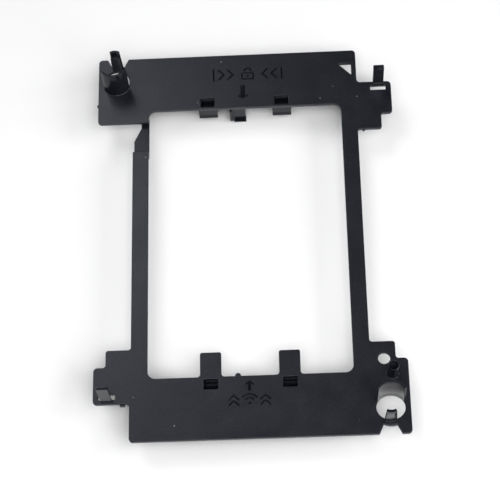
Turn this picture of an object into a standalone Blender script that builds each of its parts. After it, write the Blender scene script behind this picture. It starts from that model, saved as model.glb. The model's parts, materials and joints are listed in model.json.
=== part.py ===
"""Carrier clip for a server processor: a flat plastic frame with snap fingers that bend at their roots.

The frame lies flat with its heat sink side up. +X is right, +Y points to the latch end and -Y to the
push end. The origin is below the middle of the window, on the ground that the underside posts stand on.
The outline repeats itself after half a turn about +Z, so most features are stated once, at one end.
Lengths are in millimetres and are scaled to metres when a solid is made.
"""

import math

import bmesh
import bpy
from mathutils import Matrix, Vector

MM = 0.001
GAP = 0.3
ARC_STEPS = 5
RING_STEPS = 16

# Levels, from the ground up.
PLATE_THICKNESS = 1.0
PLATE_TOP = 8.6
PLATE_BOTTOM = PLATE_TOP - PLATE_THICKNESS
JOINING_LEVEL = PLATE_TOP - 0.5 * PLATE_THICKNESS

# Plan of the frame.
HALF_WIDTH = 39.0
HALF_LENGTH = 53.9
WINDOW_HALF_WIDTH = 25.5
WINDOW_HALF_LENGTH = 37.7
WINDOW_CORNER = 2.0
RAIL_OUTSIDE = 29.7
END_PLATE_OUTSIDE = 30.0
EAR_INNER_STEP = 36.0
EAR_END = 29.9
EAR_SHOULDER = 34.4
HOOK_EAR_EDGE = 44.0
CORNER = 1.0
STEP_CORNER = 0.7

# Square openings over the catches, on both long window edges.
CATCH_X = 9.8
CATCH_OPENING = (3.6, 2.6)
CATCH_OPENING_START = 38.3
POCKET_WALL = 0.7
POCKET_CLEARANCE = 0.1
POCKET_FLOOR_EDGE = 0.05

# Each end's pockets: where the side walls and the floor start, and the drop of the floor's underside.
LATCH_POCKET = (39.3, 39.25, 5.1)
PUSH_POCKET = (38.4, 37.0, 6.2)

# Guide sleeves with a notch and a finger on their outer side, at the push end's right corner.
SLEEVE_CENTRE = Vector((34.1, -46.85))
SLEEVE_STEP = 0.05
SLEEVE_HEIGHT = 9.7
SLEEVE_TIP_SCALE = 0.98
STRAP_OUTER = 5.0
NOTCH_X = 33.8
NOTCH_MOUTH = 2.8
NOTCH_THROAT = 1.65
NOTCH_CORNER = 0.3
FINGER_INNER = 3.4
FINGER_OUTER = 4.1
FINGER_HALF_ANGLE = math.radians(23)
FINGER_TIP_SCALE = 0.8
FINGER_TIP_LEAN = 0.55
FINGER_HEIGHT = 8.9
FINGER_FOOT_OUTER = 4.4
FINGER_FOOT_HEIGHT = 1.2
FOOT_HALF_ANGLE = math.radians(22)

# Flat edge hooks with a slot inboard of them, at the latch end's right ear.
HOOK_X = (34.2, 37.0)
HOOK_Y = (42.8, 43.5)
HOOK_HEIGHT = 9.5
HOOK_LIP = 0.3
HOOK_LIP_DEPTH = 1.5
HOOK_LIP_NOSE = 0.4
HOOK_TOP_SLOPE = 0.2
SLOT_X = (33.5, 37.6)
SLOT_WIDTH = 1.3

# Hooks that hang under the latch end's window edge. A catch lip at a hook's tip reaches into the window.
LATCH_WIDTH = 5.0
LATCH_WALL = 0.8
LATCH_DROP = 5.1
CATCH_LIP = 0.2
CATCH_LIP_LEVELS = (0.4, 0.8, 1.2)
CENTRE_X = (-2.5, 0.1)
CENTRE_RIB_X = (-4.2, -2.3)
CENTRE_WALL = 1.1
CENTRE_BACK = 2.4
CENTRE_SHOULDER = 5.0
CENTRE_LIP = 7.7
CENTRE_DROP = 8.4
CENTRE_STEP = 1.4
CENTRE_TIP_SLOPE = 0.2
CENTRE_FLARE = (0.3, 1.2)
CENTRE_RIB_DROP = 8.1
CENTRE_RIB_START = 0.5
CENTRE_RIB_PROUD = 0.15
CENTRE_RIB_TIP = (0.4, 1.0)
CENTRE_RIB_INSET = (0.2, 0.1)

# Push tabs.
TAB_WIDTH = 5.3
TAB_TIP = 31.3

# Smaller features.
PEG_CENTRE = Vector((35.1, -38.2))
PEG_OUTER = 1.45
PEG_INNER = 1.0
PEG_HEIGHT = 5.1
PIN_HOLE_CENTRE = Vector((33.1, -34.4))
PIN_HOLE_RADIUS = 1.5
INDEX_CORNER = Vector((28.7, 49.9))
INDEX_SIDE = 3.5
POST_X = (26.2, 29.4)
POST_Y = (38.4, 41.4)
LUG_X = (31.0, 32.4)
LUG_Y = (42.6, 44.4)
LUG_DROP = 1.6

# Lowered bridge that joins the left rail to the latch end.
BRIDGE_DROP = 2.0
BRIDGE_Y = (25.8, EAR_SHOULDER - 0.1)
BRIDGE_SLANT_Y = (29.8, BRIDGE_Y[1] - 0.6)
BRIDGE_WALL = 1.0
BRIDGE_INSET = 0.2
BRIDGE_NECK = 27.6

PLASTIC = (0.035, 0.036, 0.041, 1.0)
PLASTIC_ROUGHNESS = 0.55

NO_TURN = 1
HALF_TURN = -1

# Each sleeve: its inner and outer radius, its ends in degrees, and its depth and shift along Y. The push
# end's is oval.
SLEEVES = {
    NO_TURN: (3.5, 3.95, (25, 155), 0.9, -0.3),
    HALF_TURN: (3.35, 3.9, (34, 154), 1.0, 0.0),
}


def clear_scene():
    for obj in list(bpy.data.objects):
        bpy.data.objects.remove(obj, do_unlink=True)


def new_collection(name):
    collection = bpy.data.collections.new(name)
    bpy.context.scene.collection.children.link(collection)
    return collection


def plastic(name):
    material = bpy.data.materials.new(name + "_plastic")
    material.use_nodes = True
    shader = material.node_tree.nodes["Principled BSDF"]
    shader.inputs["Base Color"].default_value = PLASTIC
    shader.inputs["Roughness"].default_value = PLASTIC_ROUGHNESS
    shader.inputs["Metallic"].default_value = 0.0
    return material


def turned(points, turn):
    """The plan points as they are, or after half a turn about the origin."""
    return [Vector((turn * x, turn * y)) for x, y in points]


def arc(centre, radius, start, end, steps):
    """Points on an arc about a centre, both ends included."""
    angles = [start + (end - start) * i / steps for i in range(steps + 1)]
    return [Vector((centre[0] + radius * math.cos(a), centre[1] + radius * math.sin(a))) for a in angles]


def circle(centre, radius, steps):
    return arc(centre, radius, 0, 2 * math.pi, steps)[:-1]


def filleted(corners):
    """The outline through corners (x, y, radius), each one rounded to its radius."""
    points = []
    for i, (x, y, radius) in enumerate(corners):
        here = Vector((x, y))
        back = (Vector(corners[i - 1][:2]) - here).normalized()
        ahead = (Vector(corners[(i + 1) % len(corners)][:2]) - here).normalized()
        if radius == 0:
            points.append(here)
            continue
        half = back.angle(ahead) / 2
        centre = here + (back + ahead).normalized() * (radius / math.sin(half))
        first = here + back * (radius / math.tan(half)) - centre
        last = here + ahead * (radius / math.tan(half)) - centre
        sweep = -first.angle_signed(last)
        start = math.atan2(first.y, first.x)
        points += arc(centre, radius, start, start + sweep, ARC_STEPS)
    return points


def rectangle(x_range, y_range, radius=0.0):
    (x0, x1), (y0, y1) = x_range, y_range
    return filleted([(x0, y0, radius), (x1, y0, radius), (x1, y1, radius), (x0, y1, radius)])


def flat_solid(name, outlines, low, high):
    """A mesh object from closed plan outlines, the later ones being holes, between two levels."""
    curve = bpy.data.curves.new(name, "CURVE")
    curve.dimensions = "2D"
    curve.fill_mode = "BOTH"
    curve.extrude = 0.5 * (high - low) * MM
    for outline in outlines:
        spline = curve.splines.new("POLY")
        spline.points.add(len(outline) - 1)
        spline.use_cyclic_u = True
        for point, place in zip(spline.points, outline):
            point.co = (place[0] * MM, place[1] * MM, 0.0, 1.0)
    shape = bpy.data.objects.new(name, curve)
    bpy.context.scene.collection.objects.link(shape)
    shape.location.z = 0.5 * (low + high) * MM
    bpy.context.view_layer.update()
    graph = bpy.context.evaluated_depsgraph_get()
    mesh = bpy.data.meshes.new_from_object(shape.evaluated_get(graph))
    mesh.transform(shape.matrix_world)
    bpy.data.objects.remove(shape, do_unlink=True)
    weld(mesh)
    mesh.name = name
    return bpy.data.objects.new(name, mesh)


def weld(mesh):
    work = bmesh.new()
    work.from_mesh(mesh)
    bmesh.ops.remove_doubles(work, verts=work.verts, dist=0.00001)
    bmesh.ops.recalc_face_normals(work, faces=work.faces)
    work.to_mesh(mesh)
    work.free()


def profile_solid(name, profile, x_range):
    """A mesh object from a closed (y, z) profile, extruded along X."""
    solid = flat_solid(name, [profile], x_range[0], x_range[1])
    upright = Matrix(((0, 0, 1, 0), (1, 0, 0, 0), (0, 1, 0, 0), (0, 0, 0, 1)))
    solid.data.transform(upright)
    return solid


def half_turn(solid, turn):
    if turn == HALF_TURN:
        solid.data.transform(Matrix.Rotation(math.pi, 4, "Z"))
    return solid


def block(name, x_range, y_range, z_range):
    mesh = bpy.data.meshes.new(name)
    ranges = (x_range, y_range, z_range)
    size = [(high - low) * MM for low, high in ranges]
    middle = [0.5 * (low + high) * MM for low, high in ranges]
    work = bmesh.new()
    bmesh.ops.create_cube(work, size=1.0)
    bmesh.ops.scale(work, vec=size, verts=work.verts)
    bmesh.ops.translate(work, vec=middle, verts=work.verts)
    work.to_mesh(mesh)
    work.free()
    return bpy.data.objects.new(name, mesh)


def combine(target, helpers, operation, helper_collection):
    """Adds one Boolean modifier a helper to the target, and hides the helpers."""
    for helper in helpers:
        helper_collection.objects.link(helper)
        helper.hide_render = True
        helper.display_type = "WIRE"
        step = target.modifiers.new(helper.name, "BOOLEAN")
        step.operation = operation
        step.solver = "EXACT"
        step.object = helper


def place(solid, collection, pivot=(0.0, 0.0, 0.0)):
    """Puts a finished solid in the scene with its origin on its pivot and its own material."""
    origin = Vector(pivot) * MM
    solid.data.transform(Matrix.Translation(-origin))
    solid.location = origin
    solid.data.materials.append(plastic(solid.name))
    solid.data.shade_smooth()
    solid.data.set_sharp_from_angle(angle=math.radians(30))
    collection.objects.link(solid)


def right_side_outline():
    """The corners of the right side, from the push end's notch to the latch end."""
    tangent = math.asin(NOTCH_THROAT / STRAP_OUTER)
    strap = arc(SLEEVE_CENTRE, STRAP_OUTER, -math.pi / 2 - tangent, -math.pi / 2 + tangent, ARC_STEPS)
    notch = [(x, y, 0.0) for x, y in strap]
    return [
        (NOTCH_X - NOTCH_MOUTH, -HALF_LENGTH, NOTCH_CORNER),
        *notch,
        (NOTCH_X + NOTCH_MOUTH, -HALF_LENGTH, NOTCH_CORNER),
        (HALF_WIDTH, -HALF_LENGTH, CORNER),
        (HALF_WIDTH, -EAR_SHOULDER, CORNER),
        (EAR_INNER_STEP, -EAR_SHOULDER, STEP_CORNER),
        (EAR_INNER_STEP, -EAR_END, STEP_CORNER),
        (RAIL_OUTSIDE, -EAR_END, STEP_CORNER),
        (RAIL_OUTSIDE, EAR_END, STEP_CORNER),
        (EAR_INNER_STEP, EAR_END, STEP_CORNER),
        (EAR_INNER_STEP, EAR_SHOULDER, STEP_CORNER),
        (HALF_WIDTH, EAR_SHOULDER, CORNER),
        (HALF_WIDTH, HOOK_EAR_EDGE, CORNER),
        (END_PLATE_OUTSIDE, HOOK_EAR_EDGE, CORNER),
        (END_PLATE_OUTSIDE, HALF_LENGTH, CORNER),
    ]


def frame_outline():
    right = right_side_outline()
    return filleted(right + [(-x, -y, radius) for x, y, radius in right])


def pressed(points, depth, shift):
    """Points about the sleeve's centre, brought closer to it along Y and then moved along Y."""
    middle = SLEEVE_CENTRE.y
    return [Vector((x, middle + shift + (y - middle) * depth)) for x, y in points]


def sleeve_hole(turn):
    inner, _, _, depth, shift = SLEEVES[turn]
    return turned(pressed(circle(SLEEVE_CENTRE, inner + SLEEVE_STEP, 2 * RING_STEPS), depth, shift), turn)


def ring_sector(inner, outer, middle, half_angle, steps):
    """The plan of a piece of a ring about the sleeve's centre."""
    back = arc(SLEEVE_CENTRE, inner, middle + half_angle, middle - half_angle, steps)
    return arc(SLEEVE_CENTRE, outer, middle - half_angle, middle + half_angle, steps) + back


def holes():
    window = rectangle(
        (-WINDOW_HALF_WIDTH, WINDOW_HALF_WIDTH), (-WINDOW_HALF_LENGTH, WINDOW_HALF_LENGTH), WINDOW_CORNER
    )
    index = [
        INDEX_CORNER,
        INDEX_CORNER - Vector((INDEX_SIDE, 0.0)),
        INDEX_CORNER - Vector((0.0, INDEX_SIDE)),
    ]
    found = [window, index, circle(PIN_HOLE_CENTRE, PIN_HOLE_RADIUS, RING_STEPS)]
    slot = rectangle(SLOT_X, (HOOK_Y[0] - SLOT_WIDTH, HOOK_Y[0]))
    width, depth = CATCH_OPENING
    for turn in (NO_TURN, HALF_TURN):
        found += [sleeve_hole(turn), turned(slot, turn)]
        for side in (-CATCH_X, CATCH_X):
            x_range = (side - width / 2, side + width / 2)
            opening = rectangle(x_range, (CATCH_OPENING_START, CATCH_OPENING_START + depth))
            found.append(turned(opening, turn))
    return found


def taper(solid, low, high, centre, tip_scales, lean=0.0):
    """Scales a solid in X and Y about a centre, from full size at its low end to the tip scales at its
    high end, and shifts its high end by the lean along Y."""
    for vertex in solid.data.vertices:
        share = (vertex.co.z / MM - low) / (high - low)
        for axis in (0, 1):
            middle = centre[axis] * MM
            scale = 1.0 + (tip_scales[axis] - 1.0) * share
            vertex.co[axis] = middle + (vertex.co[axis] - middle) * scale
        vertex.co.y += lean * share * MM


def make_sleeve(turn, name):
    inner, outer, ends, depth, shift = SLEEVES[turn]
    start, end = (math.radians(angle) for angle in ends)
    ring = ring_sector(inner, outer, 0.5 * (start + end), 0.5 * (end - start), RING_STEPS)
    low, high = JOINING_LEVEL, PLATE_TOP + SLEEVE_HEIGHT
    sleeve = flat_solid(name, [pressed(ring, depth, shift)], low, high)
    taper(sleeve, low, high, SLEEVE_CENTRE, (SLEEVE_TIP_SCALE, SLEEVE_TIP_SCALE))
    return half_turn(sleeve, turn)


def make_bridge():
    """A flat piece below the plate with a slanted outer edge, and a wall up to the plate at each end."""
    inside, outside = -WINDOW_HALF_WIDTH, -RAIL_OUTSIDE + BRIDGE_INSET
    top = PLATE_TOP - BRIDGE_DROP
    bottom = top - PLATE_THICKNESS
    low_y, high_y = BRIDGE_Y[0] - BRIDGE_WALL, BRIDGE_Y[1] + 2 * BRIDGE_WALL
    slant_low, slant_high = BRIDGE_SLANT_Y
    outline = [
        (inside, low_y),
        (inside, high_y),
        (-BRIDGE_NECK, high_y),
        (-BRIDGE_NECK, slant_high),
        (outside, slant_low),
        (outside, low_y),
    ]
    floor = flat_solid("bridge_floor", [outline], bottom, top)
    levels = (0.5 * (bottom + top), JOINING_LEVEL)
    inset = BRIDGE_INSET
    low_wall = block(
        "bridge_low_wall",
        (outside + inset, inside - inset),
        (low_y + inset, low_y + BRIDGE_WALL - inset),
        levels,
    )
    high_wall = block(
        "bridge_high_wall",
        (-BRIDGE_NECK + inset, inside - inset),
        (high_y - BRIDGE_WALL + inset, high_y - inset),
        levels,
    )
    return [floor, low_wall, high_wall]


def make_posts():
    made = []
    for turn_x in (-1, 1):
        for turn_y in (-1, 1):
            x_range = sorted(turn_x * x for x in POST_X)
            y_range = sorted(turn_y * y for y in POST_Y)
            made.append(block(f"post_{len(made)}", x_range, y_range, (0.0, JOINING_LEVEL)))
    for turn in (NO_TURN, HALF_TURN):
        x_range = sorted(turn * x for x in LUG_X)
        y_range = sorted(turn * y for y in LUG_Y)
        made.append(block(f"lug_{turn}", x_range, y_range, (PLATE_TOP - LUG_DROP, JOINING_LEVEL)))
    return made


def make_peg():
    ring = [circle(PEG_CENTRE, PEG_OUTER, RING_STEPS), circle(PEG_CENTRE, PEG_INNER, RING_STEPS)]
    return flat_solid("peg", ring, JOINING_LEVEL, PLATE_TOP + PEG_HEIGHT)


def make_pocket(name, turn, x_middle, sizes):
    """A box that is open towards the hook, so that the hook's tip has room to swing."""
    wall_start, floor_start, drop = sizes
    width, depth = CATCH_OPENING
    inside = 0.5 * width + POCKET_CLEARANCE
    outside = inside + POCKET_WALL
    back = CATCH_OPENING_START + depth + POCKET_CLEARANCE
    plan = [
        (x_middle - outside, wall_start),
        (x_middle - inside, wall_start),
        (x_middle - inside, back),
        (x_middle + inside, back),
        (x_middle + inside, wall_start),
        (x_middle + outside, wall_start),
        (x_middle + outside, back + POCKET_WALL),
        (x_middle - outside, back + POCKET_WALL),
    ]
    low = PLATE_TOP - drop
    walls = flat_solid(name + "_walls", [turned(plan, turn)], low + 0.5 * POCKET_WALL, JOINING_LEVEL)
    reach = outside + POCKET_FLOOR_EDGE
    y_range = (floor_start, back + POCKET_WALL + POCKET_FLOOR_EDGE)
    floor = block(name + "_floor", (x_middle - reach, x_middle + reach), y_range, (low, low + POCKET_WALL))
    return [walls, half_turn(floor, turn)]


def make_pockets():
    made = []
    for turn, sizes in ((NO_TURN, LATCH_POCKET), (HALF_TURN, PUSH_POCKET)):
        for x_middle in (-CATCH_X, CATCH_X):
            made += make_pocket(f"pocket_{len(made)}", turn, x_middle, sizes)
    return made


def make_frame(parts, cutters):
    frame = flat_solid("carrier_frame", [frame_outline(), *holes()], PLATE_BOTTOM, PLATE_TOP)
    opening = block(
        "bridge_opening",
        (-HALF_WIDTH - 1.0, -WINDOW_HALF_WIDTH + 1.0),
        BRIDGE_Y,
        (PLATE_BOTTOM - 1.0, PLATE_TOP + 1.0),
    )
    combine(frame, [opening], "DIFFERENCE", cutters)
    added = [make_sleeve(NO_TURN, "push_sleeve"), make_sleeve(HALF_TURN, "latch_sleeve"), make_peg()]
    combine(frame, added + make_bridge() + make_posts() + make_pockets(), "UNION", cutters)
    place(frame, parts)


def make_guide_finger(name, turn, parts, cutters):
    low, high = PLATE_TOP + GAP, PLATE_TOP + FINGER_HEIGHT
    outer_side = -math.pi / 2
    blade = ring_sector(FINGER_INNER, FINGER_OUTER, outer_side, FINGER_HALF_ANGLE, ARC_STEPS)
    finger = flat_solid(name, [blade], low, high)
    middle_radius = 0.5 * (FINGER_INNER + FINGER_OUTER)
    root = SLEEVE_CENTRE - Vector((0.0, middle_radius))
    taper(finger, low, high, root, (FINGER_TIP_SCALE, 1.0), -FINGER_TIP_LEAN)
    foot_plan = ring_sector(middle_radius, FINGER_FOOT_OUTER, outer_side, FOOT_HALF_ANGLE, ARC_STEPS)
    foot = flat_solid(name + "_foot", [foot_plan], low, low + FINGER_FOOT_HEIGHT)
    for solid in (finger, foot):
        solid.data.transform(Matrix.Translation(((NOTCH_X - SLEEVE_CENTRE.x) * MM, 0.0, 0.0)))
        half_turn(solid, turn)
    combine(finger, [foot], "UNION", cutters)
    place(finger, parts, (turn * NOTCH_X, turn * root.y, PLATE_TOP + GAP / 2))


def make_edge_hook(name, turn, parts):
    inner, outer = HOOK_Y
    low, high = PLATE_TOP + GAP, PLATE_TOP + HOOK_HEIGHT
    lip_bottom = high - HOOK_LIP_DEPTH
    profile = [
        (outer, low),
        (outer, high),
        (inner + HOOK_TOP_SLOPE, high),
        (inner - HOOK_LIP, lip_bottom + HOOK_LIP_NOSE),
        (inner - HOOK_LIP, lip_bottom),
        (inner, lip_bottom),
        (inner, low),
    ]
    hook = half_turn(profile_solid(name, profile, HOOK_X), turn)
    pivot = (turn * sum(HOOK_X) / 2, turn * (inner + outer) / 2, PLATE_TOP + GAP / 2)
    place(hook, parts, pivot)


def catch_profile(face, back, low, high, inward):
    """A wall's (y, z) profile with a catch lip at its tip: the lip stands proud of the face, inward."""
    lip = face + inward * CATCH_LIP
    nose_low, nose_high, lip_top = (low + rise for rise in CATCH_LIP_LEVELS)
    return [
        (face, high),
        (face, lip_top),
        (lip, nose_high),
        (lip, nose_low),
        (face, low),
        (back, low),
        (back, high),
    ]


def make_latch_hook(name, x_middle, parts):
    face = WINDOW_HALF_LENGTH
    back = face + LATCH_WALL
    profile = catch_profile(face, back, PLATE_TOP - LATCH_DROP, PLATE_BOTTOM - GAP, -1)
    hook = profile_solid(name, profile, (x_middle - LATCH_WIDTH / 2, x_middle + LATCH_WIDTH / 2))
    place(hook, parts, (x_middle, (face + back) / 2, PLATE_BOTTOM - GAP / 2))


def make_centre_latch(parts, cutters):
    """The long hook: its face steps back under the shoulder, and a lip closes the step at the tip."""
    face = WINDOW_HALF_LENGTH
    high = PLATE_BOTTOM - GAP
    shoulder, lip, low = (PLATE_TOP - drop for drop in (CENTRE_SHOULDER, CENTRE_LIP, CENTRE_DROP))
    step = face + CENTRE_STEP
    back = face + CENTRE_BACK
    flare_low, flare_high = CENTRE_FLARE
    profile = [
        (face, high),
        (face, shoulder),
        (step, shoulder),
        (step, lip),
        (face, lip),
        (face + CENTRE_TIP_SLOPE, low),
        (back, low),
        (back, shoulder - flare_low),
        (face + CENTRE_WALL, shoulder + flare_high),
        (face + CENTRE_WALL, high),
    ]
    latch = profile_solid("centre_latch", profile, CENTRE_X)
    rib_low = PLATE_TOP - CENTRE_RIB_DROP
    rib_high = high - CENTRE_RIB_START
    proud_face = face - CENTRE_RIB_PROUD
    tip_y, tip_rise = CENTRE_RIB_TIP
    wall_inset, back_inset = CENTRE_RIB_INSET
    rib_profile = [
        (proud_face, rib_high),
        (proud_face, rib_low + tip_rise),
        (face + tip_y, rib_low),
        (back - back_inset, rib_low),
        (back - back_inset, shoulder - wall_inset),
        (face + CENTRE_WALL - wall_inset, rib_high),
    ]
    rib = profile_solid("centre_latch_rib", rib_profile, CENTRE_RIB_X)
    combine(latch, [rib], "UNION", cutters)
    place(latch, parts, (sum(CENTRE_X) / 2, face + CENTRE_WALL / 2, PLATE_BOTTOM - GAP / 2))


def make_push_tab(name, x_middle, parts):
    """A thumb pad level with the plate, and under its root a wall with a catch lip on the window's side."""
    root = -WINDOW_HALF_LENGTH + GAP
    face = root + LATCH_WALL
    wall = catch_profile(face, root, PLATE_TOP - LATCH_DROP, PLATE_BOTTOM, 1)
    pad = [(root, PLATE_TOP), (-TAB_TIP, PLATE_TOP), (-TAB_TIP, PLATE_BOTTOM)]
    tab = profile_solid(name, pad + wall[:-1], (x_middle - TAB_WIDTH / 2, x_middle + TAB_WIDTH / 2))
    place(tab, parts, (x_middle, root - GAP / 2, JOINING_LEVEL))


def build():
    clear_scene()
    parts = new_collection("processor_carrier")
    cutters = new_collection("boolean_helpers")
    make_frame(parts, cutters)
    make_guide_finger("guide_finger_push_end", NO_TURN, parts, cutters)
    make_guide_finger("guide_finger_latch_end", HALF_TURN, parts, cutters)
    make_edge_hook("edge_hook_latch_end", NO_TURN, parts)
    make_edge_hook("edge_hook_push_end", HALF_TURN, parts)
    for side, x_middle in (("left", -CATCH_X), ("right", CATCH_X)):
        make_latch_hook("latch_hook_" + side, x_middle, parts)
        make_push_tab("push_tab_" + side, x_middle, parts)
    make_centre_latch(parts, cutters)


build()
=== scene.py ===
"""The looks of a server processor's carrier frame: one black moulding, lying on a white table.

The plate, its sleeves and its underside are one moulded piece. Each snap finger is a piece of its own.
Lengths are in millimetres, in the frame's own axes, and are scaled to metres when a mesh is made. Angles
are in radians, except where a name or comment says degrees.
"""

import json
import math

import bmesh
import bpy
from mathutils import Matrix, Vector


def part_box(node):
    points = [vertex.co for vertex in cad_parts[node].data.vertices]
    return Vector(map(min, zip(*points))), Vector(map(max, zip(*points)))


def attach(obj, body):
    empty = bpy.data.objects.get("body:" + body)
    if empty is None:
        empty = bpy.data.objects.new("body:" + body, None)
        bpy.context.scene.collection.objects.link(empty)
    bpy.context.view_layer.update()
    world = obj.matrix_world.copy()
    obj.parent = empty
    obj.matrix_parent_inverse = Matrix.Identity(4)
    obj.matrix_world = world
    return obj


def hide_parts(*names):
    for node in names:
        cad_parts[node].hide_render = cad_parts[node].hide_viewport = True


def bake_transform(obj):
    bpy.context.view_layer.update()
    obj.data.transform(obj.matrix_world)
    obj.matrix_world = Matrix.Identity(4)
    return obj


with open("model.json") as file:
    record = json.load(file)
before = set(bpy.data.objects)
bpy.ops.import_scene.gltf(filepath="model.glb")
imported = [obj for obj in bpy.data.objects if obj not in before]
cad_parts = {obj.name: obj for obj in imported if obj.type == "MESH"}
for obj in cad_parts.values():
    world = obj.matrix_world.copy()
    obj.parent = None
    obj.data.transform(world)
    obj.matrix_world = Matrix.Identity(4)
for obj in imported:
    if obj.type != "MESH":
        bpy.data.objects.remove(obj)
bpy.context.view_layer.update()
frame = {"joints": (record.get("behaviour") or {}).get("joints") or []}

MM = 0.001
NO_TURN = 1
HALF_TURN = -1

# Fineness of round stretches.
CORNER_STEPS = 8
RING_STEPS = 48
EDGE_STEPS = 2
EDGE_RADIUS = 0.16
SMOOTH_ANGLE = math.radians(40)

# A face counts as flat when it lies square to an axis and is larger than an area in square millimetres.
FLAT_LIMIT = 0.99999
FLAT_AREA = 0.02
SAME_SIDE = math.cos(math.radians(30))


def node_box(name):
    """The lowest and highest corners of a CAD node, in millimetres."""
    low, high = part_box(name)
    return low / MM, high / MM


def pivot_of(node):
    """The point that a snap finger bends about, in millimetres."""
    for joint in frame["joints"]:
        if joint["child"] == node + "_body":
            return Vector(joint["pos_m"]) / MM
    raise KeyError(node)


# Levels and plan, taken from the frame.
FRAME_LOW, FRAME_HIGH = node_box("carrier_frame")
TAB_LOW, TAB_HIGH = node_box("push_tab_right")
HOOK_LOW, HOOK_HIGH = node_box("edge_hook_latch_end")
_, FINGER_HIGH = node_box("guide_finger_push_end")
LATCH_LOW, LATCH_HIGH = node_box("latch_hook_right")
CENTRE_LOW, CENTRE_HIGH = node_box("centre_latch")
HALF_WIDTH = FRAME_HIGH.x
HALF_LENGTH = FRAME_HIGH.y
PLATE_TOP = TAB_HIGH.z
PLATE_THICKNESS = 1.0
PLATE_BOTTOM = PLATE_TOP - PLATE_THICKNESS
INSIDE_PLATE = PLATE_TOP - 0.6 * PLATE_THICKNESS

# Cutters run this far past the plate's faces, and a finger's own mesh starts this deep inside the plate.
CLEAR = 1.0
ROOT_DEPTH = 0.3

# Window, rails and ears.
WINDOW_HALF_WIDTH = 25.5
WINDOW_HALF_LENGTH = 37.7
WINDOW_CORNER = 2.0
RAIL_OUTSIDE = 29.7
END_PLATE_OUTSIDE = 30.0
EAR_INNER_STEP = 36.0
EAR_END = 29.9
EAR_SHOULDER = 34.4
HOOK_EAR_EDGE = 44.0
CORNER = 1.0
STEP_CORNER = 0.7

# Catches: square openings, and the pockets under them.
CATCH_X = pivot_of("latch_hook_right").x
OPENING = (3.6, 2.6)
OPENING_START = 38.3
OPENING_STAGGER = 0.01
POCKET_WALL = 0.7
POCKET_CLEARANCE = 0.1

# Each end's pockets: where the side walls and the floor start, and the drop of the floor's underside.
LATCH_POCKET = (39.3, 39.25, 5.1)
PUSH_POCKET = (38.4, 37.0, 6.2)
LATCH_WIDTH = LATCH_HIGH.x - LATCH_LOW.x
CATCH_WALL = 0.8
CATCH_LIP = 0.2
FACE_SETBACK = 0.04
TAB_HALF_WIDTH = 0.5 * (TAB_HIGH.x - TAB_LOW.x)

# Guide sleeves, their notches and their fingers, at the push end.
SLEEVE_CENTRE = Vector((34.1, -46.85))
SLEEVE_TIP_SCALE = 0.98
SLEEVE_HOLE_MARGIN = 0.05
SLEEVE_FILLET = 0.2

# Each sleeve: its inner and outer radius, its ends in degrees, and its depth and shift along Y. The push
# end's is oval.
SLEEVES = {
    NO_TURN: (3.5, 3.95, (25, 155), 0.9, -0.3),
    HALF_TURN: (3.35, 3.9, (34, 154), 1.0, 0.0),
}
SLEEVE_TOP = FRAME_HIGH.z
STRAP_OUTER = 5.0
NOTCH_X = pivot_of("guide_finger_push_end").x
NOTCH_MOUTH = 2.8
NOTCH_THROAT = 1.65
FINGER_INNER = 3.4
FINGER_OUTER = 4.1
FINGER_HALF_ANGLE = math.radians(23)
FINGER_TIP_SCALE = 0.8
FINGER_LEAN = 0.55

# Edge hooks and their slots, at the latch end.
HOOK_X = (HOOK_LOW.x, HOOK_HIGH.x)
HOOK_Y = (42.8, HOOK_HIGH.y)
SLOT_X = (33.5, 37.6)
SLOT_WIDTH = 1.3

# Smaller features.
PEG_CENTRE = Vector((35.1, -38.2))
PEG_INNER = 1.0
PEG_RADIUS = 1.45
PEG_FILLET = 0.25
PEG_TOP = PLATE_TOP + 5.1
PEG_FLOOR = PEG_TOP - 1.7
PIN_HOLE_CENTRE = Vector((33.1, -34.4))
PIN_HOLE_RADIUS = 1.5
INDEX_CORNER = Vector((28.7, 49.9))
INDEX_SIDE = 3.5
POST_X = (26.2, 29.4)
POST_Y = (38.4, 41.4)
LUG_X = (31.0, 32.4)
LUG_Y = (42.6, 44.4)
LUG_DROP = 1.6
BRIDGE_DROP = 2.0
BRIDGE_Y = (25.8, EAR_SHOULDER - 0.1)
BRIDGE_NECK = 27.6
SEAM_Y = -36.8
SEAM_HALF_WIDTH = 4.0
SEAM_REACH = 3.0
EJECTOR_PLACES = (
    (-20, 46), (20, 46), (-20, -46), (20, -46),
    (27.6, 14), (27.6, -14), (-27.6, 8), (-27.6, -18),
)
EJECTOR_RADIUS = 1.1
EJECTOR_DEPTH = 0.08

# Engraved marks: the stroke, the depth, and the middle and size of each end's picture.
MARK_WIDTH = 0.46
MARK_DEPTH = 0.4
LOCK_CENTRE = (1.0, 47.85)
LOCK_SIZE = 3.4
PRESS_CENTRE = (-0.3, -43.75)
PRESS_SIZE = 2.9

# Where rings of points go on a snap finger, by their distance from its root.
FINGER_RINGS = (0.1, 0.8, 1.6, 2.4, 4.0, 6.0)
EDGE_HOOK_RINGS = (0.1, 0.9, 1.8, 3.0, 5.0)
HANGING_RINGS = (0.1, 0.7, 1.4)
TAB_RINGS = (0.1, 0.6, 1.2, 1.8)


# Outlines in plan.

def turned(points, turn):
    """The points as they are, or after half a turn about the frame's middle."""
    return [Vector((turn * x, turn * y)) for x, y in points]


def arc(centre, radius, start, end, steps):
    """Points on an arc about a centre, both ends included."""
    angles = [start + (end - start) * i / steps for i in range(steps + 1)]
    return [Vector((centre[0] + radius * math.cos(a), centre[1] + radius * math.sin(a))) for a in angles]


def circle(centre, radius, steps=RING_STEPS):
    return arc(centre, radius, 0, 2 * math.pi, steps)[:-1]


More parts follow.
